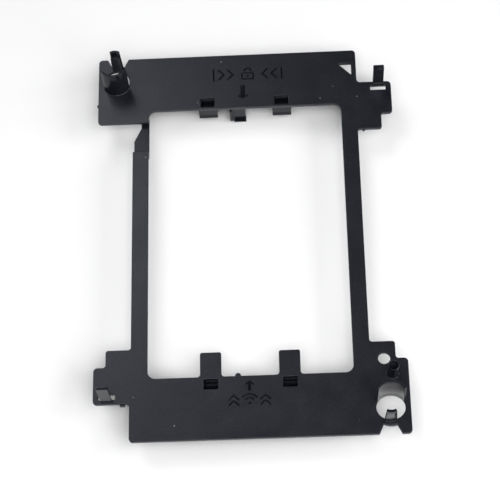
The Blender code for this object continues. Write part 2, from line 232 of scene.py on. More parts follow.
def filleted(corners):
    """The outline through corners (x, y, radius), each one rounded to its radius."""
    points = []
    for i, (x, y, radius) in enumerate(corners):
        here = Vector((x, y))
        if radius == 0:
            points.append(here)
            continue
        back = (Vector(corners[i - 1][:2]) - here).normalized()
        ahead = (Vector(corners[(i + 1) % len(corners)][:2]) - here).normalized()
        half = back.angle(ahead) / 2
        centre = here + (back + ahead).normalized() * (radius / math.sin(half))
        first = here + back * (radius / math.tan(half)) - centre
        last = here + ahead * (radius / math.tan(half)) - centre
        start = math.atan2(first.y, first.x)
        points += arc(centre, radius, start, start - first.angle_signed(last), CORNER_STEPS)
    return points


def rectangle(x_range, y_range, radius=0.0):
    (x0, x1), (y0, y1) = x_range, y_range
    return filleted([(x0, y0, radius), (x1, y0, radius), (x1, y1, radius), (x0, y1, radius)])


def ring_sector(centre, inner, outer, middle, half_angle, steps=CORNER_STEPS):
    back = arc(centre, inner, middle + half_angle, middle - half_angle, steps)
    return arc(centre, outer, middle - half_angle, middle + half_angle, steps) + back


# Solids.

def weld(mesh, distance=0.002):
    work = bmesh.new()
    work.from_mesh(mesh)
    bmesh.ops.remove_doubles(work, verts=work.verts, dist=distance * MM)
    bmesh.ops.recalc_face_normals(work, faces=work.faces)
    work.to_mesh(mesh)
    work.free()


def link(obj):
    bpy.context.scene.collection.objects.link(obj)
    return obj


def baked(obj):
    """The object's mesh as its modifiers leave it, in a new plain object of the same name."""
    bpy.context.view_layer.update()
    graph = bpy.context.evaluated_depsgraph_get()
    mesh = bpy.data.meshes.new_from_object(obj.evaluated_get(graph))
    mesh.transform(obj.matrix_world)
    name = obj.name
    bpy.data.objects.remove(obj, do_unlink=True)
    fresh = link(bpy.data.objects.new(name, mesh))
    fresh.name = name
    return fresh


def slab(name, outlines, low, high, edge=EDGE_RADIUS):
    """A closed solid from plan outlines, the later ones being holes, with rounded top and bottom edges."""
    curve = bpy.data.curves.new(name, "CURVE")
    curve.dimensions = "2D"
    curve.fill_mode = "BOTH"
    curve.extrude = (0.5 * (high - low) - edge) * MM
    curve.bevel_depth = edge * MM
    curve.bevel_resolution = EDGE_STEPS
    curve.offset = -edge * MM
    for outline in outlines:
        spline = curve.splines.new("POLY")
        spline.points.add(len(outline) - 1)
        spline.use_cyclic_u = True
        for point, place in zip(spline.points, outline):
            point.co = (place[0] * MM, place[1] * MM, 0.0, 1.0)
    shape = link(bpy.data.objects.new(name, curve))
    shape.location.z = 0.5 * (low + high) * MM
    solid = baked(shape)
    weld(solid.data)
    return solid


def upright(solid):
    """Turns a solid drawn in (y, z) and extruded along z so that its length runs along X."""
    solid.data.transform(Matrix(((0, 0, 1, 0), (1, 0, 0, 0), (0, 1, 0, 0), (0, 0, 0, 1))))
    return solid


def facing(solid):
    """Turns a solid drawn in (x, z) and extruded along z so that its length runs along -Y."""
    solid.data.transform(Matrix(((1, 0, 0, 0), (0, 0, -1, 0), (0, 1, 0, 0), (0, 0, 0, 1))))
    return solid


def half_turn(solid, turn):
    if turn == HALF_TURN:
        solid.data.transform(Matrix.Rotation(math.pi, 4, "Z"))
    return solid


def rounded(solid, width, angle=math.radians(50)):
    """Rounds the edges that are sharper than the angle."""
    bevel = solid.modifiers.new("round", "BEVEL")
    bevel.width = width * MM
    bevel.segments = EDGE_STEPS
    bevel.limit_method = "ANGLE"
    bevel.angle_limit = angle
    return baked(solid)


def block(name, x_range, y_range, z_range, edge=0.0):
    mesh = bpy.data.meshes.new(name)
    ranges = (x_range, y_range, z_range)
    work = bmesh.new()
    bmesh.ops.create_cube(work, size=1.0)
    bmesh.ops.scale(work, vec=[(high - low) * MM for low, high in ranges], verts=work.verts)
    bmesh.ops.translate(work, vec=[0.5 * (low + high) * MM for low, high in ranges], verts=work.verts)
    work.to_mesh(mesh)
    work.free()
    solid = link(bpy.data.objects.new(name, mesh))
    return rounded(solid, edge) if edge else solid


def spun(name, profile, centre, start, end, steps):
    """A closed solid from an (r, z) profile swept about a vertical line, all round or from start to end."""
    mesh = bpy.data.meshes.new(name)
    work = bmesh.new()
    points = [Vector((r * math.cos(start), r * math.sin(start), z)) * MM for r, z in profile]
    face = work.faces.new([work.verts.new(point) for point in points])
    whole = abs(end - start - 2 * math.pi) < 0.001
    geometry = face.edges[:] + face.verts[:] if whole else [face, *face.edges, *face.verts]
    bmesh.ops.spin(
        work, geom=geometry, cent=(0, 0, 0), axis=(0, 0, 1), angle=end - start, steps=steps, use_merge=whole
    )
    if whole:
        work.faces.remove(face)
    bmesh.ops.remove_doubles(work, verts=work.verts, dist=0.000001)
    bmesh.ops.recalc_face_normals(work, faces=work.faces)
    bmesh.ops.translate(work, vec=(centre[0] * MM, centre[1] * MM, 0), verts=work.verts)
    work.to_mesh(mesh)
    work.free()
    return link(bpy.data.objects.new(name, mesh))


def combined(target, helpers, operation):
    """The target after one Boolean a helper; the helpers are used up."""
    for helper in helpers:
        step = target.modifiers.new(helper.name, "BOOLEAN")
        step.operation = operation
        step.solver = "EXACT"
        step.object = helper
    result = baked(target)
    for helper in helpers:
        bpy.data.objects.remove(helper, do_unlink=True)
    weld(result.data, 0.0001)
    return result


def reshape(solid, place):
    """Moves each point of a solid to place(x, y, z), all in millimetres."""
    for vertex in solid.data.vertices:
        x, y, z = vertex.co / MM
        vertex.co = Vector(place(x, y, z)) * MM
    return solid


def cut_across(solid, points, normal):
    """Adds a ring of points where a plane crosses the solid, at each of the points given."""
    work = bmesh.new()
    work.from_mesh(solid.data)
    for point in points:
        geometry = work.verts[:] + work.edges[:] + work.faces[:]
        bmesh.ops.bisect_plane(work, geom=geometry, dist=1e-7, plane_co=Vector(point) * MM, plane_no=normal)
    work.to_mesh(solid.data)
    work.free()
    return solid


def smooth(solid):
    """Smooth shading that keeps flat faces flat: a point on a flat face takes that face's direction."""
    mesh = solid.data
    mesh.shade_smooth()
    mesh.set_sharp_from_angle(angle=SMOOTH_ANGLE)
    normals = [corner.vector.copy() for corner in mesh.corner_normals]
    flats = {}
    for face in mesh.polygons:
        if max(abs(part) for part in face.normal) > FLAT_LIMIT and face.area > FLAT_AREA * MM * MM:
            for vertex in face.vertices:
                flats.setdefault(vertex, []).append(face.normal.copy())
    for face in mesh.polygons:
        for corner in face.loop_indices:
            for flat in flats.get(mesh.loops[corner].vertex_index, ()):
                if flat.dot(face.normal) > SAME_SIDE:
                    normals[corner] = flat
    mesh.normals_split_custom_set(normals)
    return solid


# The plate.

def stub_corners(x_middle):
    """The window edge where a push tab grows out of it, from right to left."""
    half = TAB_HALF_WIDTH
    edge, far = -WINDOW_HALF_LENGTH, SEAM_Y + 1.0
    return [
        (x_middle + half, edge, 0.8),
        (x_middle + half, far, 0.0),
        (x_middle - half, far, 0.0),
        (x_middle - half, edge, 0.8),
    ]


def notch_corners():
    half = math.asin(NOTCH_THROAT / STRAP_OUTER)
    middle = -math.pi / 2 - math.asin((SLEEVE_CENTRE.x - NOTCH_X) / STRAP_OUTER)
    strap = arc(SLEEVE_CENTRE, STRAP_OUTER, middle - half, middle + half, CORNER_STEPS)
    return [
        (NOTCH_X - NOTCH_MOUTH, -HALF_LENGTH, 0.3),
        *[(x, y, 0.0) for x, y in strap],
        (NOTCH_X + NOTCH_MOUTH, -HALF_LENGTH, 0.3),
    ]


def stepped_ear():
    """The push end's right ear and shoulder, from the end plate's corner up to the rail."""
    return [
        (HALF_WIDTH, -HALF_LENGTH, CORNER),
        (HALF_WIDTH, -EAR_SHOULDER, CORNER),
        (EAR_INNER_STEP, -EAR_SHOULDER, STEP_CORNER),
        (EAR_INNER_STEP, -EAR_END, STEP_CORNER),
        (RAIL_OUTSIDE, -EAR_END, STEP_CORNER),
    ]


def hook_ear():
    """The latch end's right ear, from the rail up to the end plate's corner."""
    return [
        (RAIL_OUTSIDE, EAR_END, STEP_CORNER),
        (EAR_INNER_STEP, EAR_END, STEP_CORNER),
        (EAR_INNER_STEP, EAR_SHOULDER, STEP_CORNER),
        (HALF_WIDTH, EAR_SHOULDER, CORNER),
        (HALF_WIDTH, HOOK_EAR_EDGE, CORNER),
        (END_PLATE_OUTSIDE, HOOK_EAR_EDGE, CORNER),
        (END_PLATE_OUTSIDE, HALF_LENGTH, CORNER),
    ]


def turned_corners(corners):
    return [(-x, -y, radius) for x, y, radius in corners]


def plate_outline():
    """One loop: round the outside, in through the gap for the bridge, round the window and out again."""
    right = notch_corners() + stepped_ear() + hook_ear()
    latch_end = turned_corners(notch_corners()) + [
        (-HALF_WIDTH, HALF_LENGTH, CORNER),
        (-HALF_WIDTH, BRIDGE_Y[1], CORNER),
        (-WINDOW_HALF_WIDTH, BRIDGE_Y[1], 0.0),
    ]
    x, y = WINDOW_HALF_WIDTH, WINDOW_HALF_LENGTH
    window = [
        (-x, y, WINDOW_CORNER),
        (x, y, WINDOW_CORNER),
        (x, -y, WINDOW_CORNER),
        *stub_corners(CATCH_X),
        *stub_corners(-CATCH_X),
        (-x, -y, WINDOW_CORNER),
    ]
    bridge_side = [(-x, BRIDGE_Y[0], 0.25), (-RAIL_OUTSIDE, BRIDGE_Y[0], 0.35)]
    left = [(-RAIL_OUTSIDE, -EAR_END, STEP_CORNER), *turned_corners(hook_ear())[1:]]
    return filleted(right + latch_end + window + bridge_side + left)


def sleeve_hole(turn):
    """The hole in front of a sleeve's wall, a little wider than the wall's inside."""
    inner, _, _, depth, shift = SLEEVES[turn]
    middle = SLEEVE_CENTRE.y
    return [
        Vector((x, middle + shift + (y - middle) * depth))
        for x, y in circle(SLEEVE_CENTRE, inner + SLEEVE_HOLE_MARGIN)
    ]


def plate_holes():
    index = [
        (INDEX_CORNER.x, INDEX_CORNER.y, 0.15),
        (INDEX_CORNER.x - INDEX_SIDE, INDEX_CORNER.y, 0.1),
        (INDEX_CORNER.x, INDEX_CORNER.y - INDEX_SIDE, 0.1),
    ]
    found = [filleted(index), circle(PIN_HOLE_CENTRE, PIN_HOLE_RADIUS)]
    slot = rectangle(SLOT_X, (HOOK_Y[0] - SLOT_WIDTH, HOOK_Y[0]), 0.15)
    width, depth = OPENING
    for turn in (NO_TURN, HALF_TURN):
        found += [turned(sleeve_hole(turn), turn), turned(slot, turn)]
        for side in (-CATCH_X, CATCH_X):
            start = OPENING_START + (OPENING_STAGGER if side > 0 else 0.0)
            opening = rectangle((side - width / 2, side + width / 2), (start, start + depth), 0.2)
            found.append(turned(opening, turn))
    return found


def make_sleeve(turn, name):
    """A curved wall round the back of its hole, with a rounded rim and a small fillet at its foot."""
    inner, outer, ends, depth, shift = SLEEVES[turn]
    top = SLEEVE_TOP
    middle, half_wall = 0.5 * (inner + outer), 0.5 * (outer - inner)
    rim = [(middle + half_wall * math.cos(a), top - 0.15 + 0.15 * math.sin(a)) for a in half_circle(8)]
    foot = [
        (outer + SLEEVE_FILLET * (1 - math.sin(a)), PLATE_TOP + 0.22 - SLEEVE_FILLET * math.cos(a))
        for a in quarter_circle(4)
    ]
    profile = [(inner, INSIDE_PLATE), (outer + SLEEVE_FILLET, INSIDE_PLATE), *foot, *rim]
    start, end = (math.radians(angle) for angle in ends)
    sleeve = spun(name, profile, SLEEVE_CENTRE, start, end, RING_STEPS // 2)
    height = top - PLATE_TOP

    def narrowed(x, y, z):
        scale = 1.0 + (SLEEVE_TIP_SCALE - 1.0) * max(0.0, z - PLATE_TOP) / height
        return [
            SLEEVE_CENTRE.x + (x - SLEEVE_CENTRE.x) * scale,
            SLEEVE_CENTRE.y + shift + (y - SLEEVE_CENTRE.y) * depth * scale,
            z,
        ]

    return half_turn(rounded(reshape(sleeve, narrowed), 0.1, math.radians(70)), turn)


def half_circle(steps):
    return [math.pi * i / steps for i in range(steps + 1)]


def quarter_circle(steps):
    return [0.5 * math.pi * i / steps for i in range(steps + 1)]


def make_peg():
    """A thin hollow peg that narrows a little upwards, with a floor inside."""
    foot = [
        (PEG_RADIUS + PEG_FILLET * (1 - math.sin(a)), PLATE_TOP + 0.27 - PEG_FILLET * math.cos(a))
        for a in quarter_circle(4)
    ]
    rim = [(1.2 + 0.16 * math.cos(a), PEG_TOP - 0.15 + 0.15 * math.sin(a)) for a in half_circle(6)]
    profile = [(PEG_INNER, INSIDE_PLATE), (1.7, INSIDE_PLATE), *foot, *rim]
    floor = slab("peg_floor", [circle(PEG_CENTRE, 1.12, 32)], INSIDE_PLATE + 0.05, PEG_FLOOR, 0.04)
    return [spun("peg", profile, PEG_CENTRE, 0, 2 * math.pi, RING_STEPS), floor]


def make_bridge():
    """A lowered stretch of the left rail: a floor below the plate, and a wall up to it at each end."""
    inside, outside = -WINDOW_HALF_WIDTH - 0.02, -RAIL_OUTSIDE + 0.2
    top = PLATE_TOP - BRIDGE_DROP
    bottom = top - PLATE_THICKNESS
    low_y, high_y = BRIDGE_Y[0] - 1.0, BRIDGE_Y[1] + 2.0
    outline = filleted([
        (inside, low_y, 0.2),
        (inside, high_y, 0.2),
        (-BRIDGE_NECK, high_y, 0.2),
        (-BRIDGE_NECK, BRIDGE_Y[1] - 0.6, 0.5),
        (outside, BRIDGE_Y[0] + 4.0, 0.6),
        (outside, low_y, 0.2),
    ])
    floor = slab("bridge_floor", [outline], bottom, top)
    low_wall = block(
        "bridge_low_wall", (outside + 0.2, inside - 0.2), (low_y + 0.2, BRIDGE_Y[0] - 0.2),
        (bottom + 0.5, INSIDE_PLATE), 0.1,
    )
    high_wall = block(
        "bridge_high_wall", (0.2 - BRIDGE_NECK, inside - 0.2), (high_y - 0.8, high_y - 0.2),
        (bottom + 0.5, INSIDE_PLATE), 0.1,
    )
    return [floor, low_wall, high_wall]


def make_posts():
    """Four square posts that the frame stands on, and a small lug under each of two ears."""
    made = []
    for turn_x in (-1, 1):
        for turn_y in (-1, 1):
            x_range = sorted(turn_x * x for x in POST_X)
            y_range = sorted(turn_y * y for y in POST_Y)
            made.append(block(f"post_{len(made)}", x_range, y_range, (FRAME_LOW.z, INSIDE_PLATE), 0.25))
    for turn in (NO_TURN, HALF_TURN):
        x_range = sorted(turn * x for x in LUG_X)
        y_range = sorted(turn * y for y in LUG_Y)
        made.append(block(f"lug_{turn}", x_range, y_range, (PLATE_TOP - LUG_DROP, INSIDE_PLATE), 0.2))
    return made


def make_pocket(name, turn, x_middle, sizes):
    """A box that is open towards the hook, so that the hook's tip has room to swing."""
    wall_start, floor_start, drop = sizes
    width, depth = OPENING
    inside = 0.5 * width + POCKET_CLEARANCE
    outside = inside + POCKET_WALL
    back = OPENING_START + depth + POCKET_CLEARANCE
    low = PLATE_TOP - drop
    floor_top = low + POCKET_WALL
    above = PLATE_TOP + CLEAR
    plan = rectangle((x_middle - outside, x_middle + outside), (floor_start, back + POCKET_WALL), 0.4)
    hollow_plan = rectangle((x_middle - inside, x_middle + inside), (floor_start - 2.0, back), 0.25)
    pocket = slab(name, [turned(plan, turn)], low, INSIDE_PLATE, 0.1)
    hollow = slab(name + "_hollow", [turned(hollow_plan, turn)], floor_top, above, 0.05)
    x_range = (x_middle - outside - CLEAR, x_middle + outside + CLEAR)
    y_range = (floor_start - CLEAR, wall_start)
    swing = half_turn(block(name + "_swing", x_range, y_range, (floor_top + 0.02, above)), turn)
    return combined(pocket, [hollow, swing], "DIFFERENCE")


def make_pockets():
    made = []
    for turn, sizes in ((NO_TURN, LATCH_POCKET), (HALF_TURN, PUSH_POCKET)):
        for x_middle in (-CATCH_X, CATCH_X):
            made.append(make_pocket(f"pocket_{len(made)}", turn, x_middle, sizes))
    return made


def make_bumps():
    """Moulding traces: a gate stub on the window's push edge, and bumps at the left edge and right ear."""
    levels = (PLATE_BOTTOM + 0.15, PLATE_TOP - 0.12)
    gate = slab("gate_stub", [circle((-3.05, 0.1 - WINDOW_HALF_LENGTH), 0.72, 24)], *levels, 0.1)
    edge_bump = slab("edge_bump", [circle((0.1 - HALF_WIDTH, 39.9), 0.45, 20)], *levels, 0.1)
    ear_levels = (PLATE_BOTTOM - 0.25, PLATE_TOP - 0.3)
    ear_bump = slab("ear_bump", [circle((31.2, EAR_END + 0.1), 0.38, 20)], *ear_levels, 0.1)
    return [gate, edge_bump, ear_bump]


# Engraved marks. They show by pictures which end latches and which end is pushed.

def stroke(start, end, width):
    """The outline of a straight stroke with round ends."""
    start, end = Vector(start), Vector(end)
    heading = math.atan2(end.y - start.y, end.x - start.x)
    far = arc(end, width / 2, heading - math.pi / 2, heading + math.pi / 2, 6)
    return far + arc(start, width / 2, heading + math.pi / 2, heading + 1.5 * math.pi, 6)


def chevron(tip, reach, rise, width):
    """An open arrowhead with its tip at a point; its arms run back by the reach and spread by the rise."""
    tip = Vector(tip)
    back = Vector(reach)
    side = Vector((-back.y, back.x)).normalized() * rise
    slant = width * math.hypot(back.length, rise) / rise
    inner = tip + back.normalized() * slant
    return [tip, tip + back + side, inner + back + side, inner, inner + back - side, tip + back - side]


def arrow(tip, length, half_shaft, reach, rise, width):
    """An arrow with an open head, as one outline; a negative length points it down."""
    way = math.copysign(1.0, length)
    slant = width * math.hypot(reach, rise) / rise
    neck = slant + reach * half_shaft / rise
    right = [
        (rise, reach),
        (rise, reach + slant),
        (half_shaft, neck),
        (half_shaft, abs(length)),
    ]
    around = [(0.0, 0.0), *right, *[(-x, drop) for x, drop in reversed(right)]]
    return [Vector((tip[0] + x, tip[1] - way * drop)) for x, drop in around]


def padlock(centre, size):
    """A closed padlock: a square body with a round keyhole, and a shackle above it."""
    x, y = centre
    half = 0.5 * size
    wall, top = 0.4, y + 0.15 * size
    body = rectangle((x - half, x + half), (y - half, top), 0.3)
    inside = rectangle((x - half + wall, x + half - wall), (y - half + wall, top - wall), 0.15)
    keyhole = circle((x, y - 0.175 * size), 0.3, 16)
    bend = 0.2 * size
    shackle = ring_sector((x, y + 0.25 * size), bend, bend + MARK_WIDTH, math.pi / 2, math.pi / 2)
    return [body, inside, keyhole, shackle]


def tap_mark(centre, size):
    """A dot under two arcs, for a press."""
    x, y = centre
    base = (x, y - 0.35 * size)
    outlines = [circle(base, 0.34, 16)]
    for radius in (0.38 * size, 0.7 * size):
        outlines.append(ring_sector(base, radius, radius + MARK_WIDTH, math.pi / 2, math.radians(55)))
    return outlines


def engraved_outlines():
    """A padlock and a press mark, each between arrowheads, a bar outside the padlock's, and two arrows."""
    lock_x, lock_y = LOCK_CENTRE
    press_x, press_y = PRESS_CENTRE
    marks = padlock(LOCK_CENTRE, LOCK_SIZE) + tap_mark(PRESS_CENTRE, PRESS_SIZE)
    for side in (-1, 1):
        tip_x = lock_x + side * 3.6
        for tip in (tip_x, tip_x + side * 2.4):
            marks.append(chevron((tip, lock_y), (side * 1.5, 0.0), 1.6, MARK_WIDTH))
        bar_x = lock_x + side * 9.1
        marks.append(stroke((bar_x, lock_y - 1.7), (bar_x, lock_y + 1.7), MARK_WIDTH))
        for tip in (press_y + 1.3, press_y - 0.1):
            marks.append(chevron((side * 3.9 + press_x, tip), (0.0, -1.2), 1.3, MARK_WIDTH))
    marks.append(arrow((-0.4, 40.4), -4.1, 0.65, 0.7, 1.35, MARK_WIDTH))
    marks.append(arrow((-0.3, -38.9), 2.8, 0.38, 0.8, 1.0, MARK_WIDTH))
    return marks


def make_marks():
    return slab("marks", engraved_outlines(), PLATE_TOP - MARK_DEPTH, PLATE_TOP + CLEAR, 0.02)


def make_ejector_marks():
    """Shallow round dents that ejector pins leave on the underside."""
    dents = [circle(place, EJECTOR_RADIUS, 24) for place in EJECTOR_PLACES]
    return slab("ejector_marks", dents, PLATE_BOTTOM - CLEAR, PLATE_BOTTOM + EJECTOR_DEPTH, 0.02)


def make_plate():
    plate = slab("frame_moulding", [plate_outline(), *plate_holes()], PLATE_BOTTOM, PLATE_TOP)
    seam_cutters = []
    y_range, z_range = (SEAM_Y, SEAM_Y + SEAM_REACH), (PLATE_BOTTOM - CLEAR, PLATE_TOP + CLEAR)
    for side in (-CATCH_X, CATCH_X):
        x_range = (side - SEAM_HALF_WIDTH, side + SEAM_HALF_WIDTH)
        seam_cutters.append(block(f"seam_{side:.0f}", x_range, y_range, z_range))
    plate = combined(plate, seam_cutters, "DIFFERENCE")
    added = [make_sleeve(NO_TURN, "push_sleeve"), make_sleeve(HALF_TURN, "latch_sleeve")]
    added += make_peg() + make_bridge() + make_posts() + make_pockets() + make_bumps()
    plate = combined(plate, added, "UNION")
    plate = combined(plate, [make_marks(), make_ejector_marks()], "DIFFERENCE")
    return smooth(plate)


# The snap fingers.

def make_guide_finger(turn, name):
    """A curved blade that leans out a little, standing on a foot with a rounded ledge."""
    low, high = PLATE_TOP - ROOT_DEPTH, FINGER_HIGH.z
    down = -math.pi / 2
    centre = Vector((NOTCH_X, SLEEVE_CENTRE.y))
    blade_plan = ring_sector(centre, FINGER_INNER, FINGER_OUTER, down, FINGER_HALF_ANGLE)
    blade = slab(name, [blade_plan], low, high, 0.14)
    foot_plan = ring_sector(centre, FINGER_INNER + 0.1, 4.4, down, 0.97 * FINGER_HALF_ANGLE)
    foot = slab(name + "_foot", [foot_plan], low, PLATE_TOP + 1.3, 0.2)
    ledge_plan = ring_sector(centre, FINGER_INNER + 0.1, 4.75, down, 0.97 * FINGER_HALF_ANGLE)
    ledge = slab(name + "_ledge", [ledge_plan], low, PLATE_TOP + 0.3, 0.15)
    finger = combined(blade, [foot, ledge], "UNION")
    finger = cut_across(finger, [(0, 0, PLATE_TOP + step) for step in FINGER_RINGS], (0, 0, 1))

    def leaning(x, y, z):
        share = max(0.0, z - PLATE_TOP) / (high - PLATE_TOP)
        scale = 1.0 + (FINGER_TIP_SCALE - 1.0) * share
        return (NOTCH_X + (x - NOTCH_X) * scale, y - FINGER_LEAN * share, z)

    return half_turn(reshape(finger, leaning), turn)


def make_edge_hook(turn, name):
    """A flat upright hook with rounded tip corners and a lip that leans inboard."""
    inner, outer = HOOK_Y
    low, high = PLATE_TOP - ROOT_DEPTH, HOOK_HIGH.z
    lip_tip = HOOK_LOW.y
    profile = filleted([
        (outer, low, 0.0),
        (outer, high, 0.25),
        (inner + 0.15, high, 0.15),
        (lip_tip, high - 1.0, 0.15),
        (lip_tip, high - 1.5, 0.1),
        (inner, high - 1.9, 0.1),
        (inner, PLATE_TOP + 0.5, 0.4),
        (inner - 0.12, PLATE_TOP - 0.05, 0.0),
        (inner - 0.12, low, 0.0),
    ])
    hook = upright(slab(name, [profile], HOOK_X[0] - 0.3, HOOK_X[1] + 0.3, 0.1))
    front = filleted([
        (HOOK_X[0] - 0.1, low - 1.0, 0.0),
        (HOOK_X[1] + 0.1, low - 1.0, 0.0),
        (HOOK_X[1] + 0.1, PLATE_TOP, 0.3),
        (HOOK_X[1], PLATE_TOP + 0.6, 0.3),
        (HOOK_X[1], high, 0.5),
        (HOOK_X[0], high, 0.5),
        (HOOK_X[0], PLATE_TOP + 0.6, 0.3),
        (HOOK_X[0] - 0.1, PLATE_TOP, 0.3),
    ])
    cutter = facing(slab(name + "_front", [front], -outer - 2.0, -inner + 3.0, 0.1))
    hook = combined(hook, [cutter], "INTERSECT")
    hook = cut_across(hook, [(0, 0, PLATE_TOP + step) for step in EDGE_HOOK_RINGS], (0, 0, 1))
    return half_turn(rounded(hook, 0.1, math.radians(60)), turn)


def catch_profile(face, back, low, high, inward):
    """A hanging wall with a catch lip at its tip, as (y, z) corners; the lip stands proud, inward."""
    lip = face + inward * CATCH_LIP
    return [
        (face, high, 0.0),
        (face, low + 1.6, 0.5),
        (lip, low + 0.8, 0.5),
        (lip, low + 0.3, 0.1),
        (face - inward * 0.1, low, 0.1),
        (back, low, 0.25),
        (back, high, 0.0),
    ]


def make_latch_hook(x_middle, name):
    """A short hanging hook under the window's latch edge, with a catch lip."""
    face = WINDOW_HALF_LENGTH + FACE_SETBACK
    profile = filleted(catch_profile(face, face + CATCH_WALL, LATCH_LOW.z, PLATE_BOTTOM + ROOT_DEPTH, -1))
    hook = upright(slab(name, [profile], x_middle - LATCH_WIDTH / 2, x_middle + LATCH_WIDTH / 2, 0.14))
    return cut_across(hook, [(0, 0, PLATE_BOTTOM - step) for step in HANGING_RINGS], (0, 0, 1))


def make_centre_latch(name):
    """The long hook: its face steps back above a lip at the tip, and a rib runs down its left side."""
    face = WINDOW_HALF_LENGTH + FACE_SETBACK
    back = CENTRE_HIGH.y
    low, high = CENTRE_LOW.z, PLATE_BOTTOM + ROOT_DEPTH
    shoulder, lip = PLATE_TOP - 5.0, PLATE_TOP - 7.7
    profile = filleted([
        (face, high, 0.0),
        (face, shoulder, 0.12),
        (face + 1.4, shoulder + 0.1, 0.2),
        (face + 1.4, lip, 0.2),
        (face, lip - 0.05, 0.1),
        (face + 0.2, low, 0.15),
        (back, low, 0.3),
        (back, shoulder - 0.3, 0.4),
        (face + 1.1, shoulder + 1.2, 0.4),
        (face + 1.1, high, 0.0),
    ])
    latch = upright(slab(name, [profile], CENTRE_LOW.x + 1.1, CENTRE_HIGH.x, 0.12))
    rib_profile = filleted([
        (face - 0.15, PLATE_BOTTOM - 0.8, 0.3),
        (face - 0.15, low + 1.3, 0.5),
        (face + 0.4, low + 0.3, 0.4),
        (back - 0.1, low + 0.3, 0.3),
        (back - 0.1, shoulder - 0.2, 0.3),
        (face + 0.9, PLATE_BOTTOM - 0.8, 0.2),
    ])
    rib = upright(slab(name + "_rib", [rib_profile], CENTRE_LOW.x, CENTRE_LOW.x + 0.75, 0.3))
    web_profile = [(y + 0.25, z) for y, z in filleted([
        (face, high, 0.0),
        (face, low + 1.0, 0.3),
        (face + 0.3, low + 0.06, 0.1),
        (back - 0.4, low + 0.06, 0.2),
        (back - 0.4, shoulder - 0.2, 0.2),
        (face + 0.7, PLATE_BOTTOM - 0.5, 0.2),
        (face + 0.7, high, 0.0),
    ])]
    web = upright(slab(name + "_web", [web_profile], CENTRE_LOW.x + 0.4, CENTRE_LOW.x + 1.3, 0.1))
    latch = combined(latch, [web, rib], "UNION")
    return cut_across(latch, [(0, 0, PLATE_BOTTOM - step) for step in HANGING_RINGS], (0, 0, 1))


def make_push_tab(x_middle, name):
    """A thumb pad in line with the plate, and under its root a wall with a catch lip."""
    half = TAB_HALF_WIDTH
    edge = -WINDOW_HALF_LENGTH
    pad_plan = filleted([
        (x_middle - half - 2.0, edge - 2.0, 0.0),
        (x_middle + half + 2.0, edge - 2.0, 0.0),
        (x_middle + half + 2.0, edge, 0.0),
        (x_middle + half, edge, 0.8),
        (x_middle + half, TAB_HIGH.y, 0.5),
        (x_middle - half, TAB_HIGH.y, 0.5),
        (x_middle - half, edge, 0.8),
        (x_middle - half - 2.0, edge, 0.0),
    ])
    pad = slab(name, [pad_plan], PLATE_BOTTOM, PLATE_TOP)
    z_range = (PLATE_BOTTOM - CLEAR, PLATE_TOP + CLEAR)
    behind = block(name + "_behind", (x_middle - 6.0, x_middle + 6.0), (edge - 5.0, SEAM_Y), z_range)
    pad = combined(pad, [behind], "DIFFERENCE")
    face = TAB_LOW.y + CATCH_WALL
    profile = filleted(catch_profile(face, TAB_LOW.y, TAB_LOW.z, PLATE_BOTTOM - 0.02, 1))
    wall = upright(slab(name + "_wall", [profile], x_middle - half + 0.02, x_middle + half - 0.02, 0.14))
    web_profile = filleted([
        (SEAM_Y + 0.05, PLATE_BOTTOM - 0.6, 0.0),
        (face + 0.02, PLATE_BOTTOM - 0.6, 0.2),
        (face + 0.45, PLATE_BOTTOM + 0.2, 0.0),
        (SEAM_Y + 0.05, PLATE_BOTTOM + 0.2, 0.0),
    ])
    web = upright(slab(name + "_web", [web_profile], x_middle - half + 0.2, x_middle + half - 0.2, 0.03))
    tab = combined(pad, [web, wall], "UNION")
    return cut_across(tab, [(0, SEAM_Y + step, 0) for step in TAB_RINGS], (0, 1, 0))


# Materials. Colours are linear; sizes and spacings are in millimetres.

PLASTIC_TONES = ((0.0045, 0.0052, 0.0085), (0.0060, 0.0067, 0.0105))
PLASTIC_GRAIN = (0.018, 0.0185, 0.024)
PLASTIC_TINT = (0.88, 0.92, 1.0, 1.0)
DUST = (0.30, 0.31, 0.33)
DUST_SPACING = 3.2
TABLE_TONES = ((0.86, 0.86, 0.87), (0.90, 0.90, 0.90))
TABLE_ROUGHNESS = 0.7
TABLE_HALF_SIDE = 3000.0
TABLE_DROP = 0.1

def new_material(name):
    material = bpy.data.materials.new(name)
    material.use_nodes = True
    nodes = material.node_tree.nodes
    nodes.clear()
    output = nodes.new("ShaderNodeOutputMaterial")
    shader = nodes.new("ShaderNodeBsdfPrincipled")
    material.node_tree.links.new(shader.outputs["BSDF"], output.inputs["Surface"])
    return material, shader


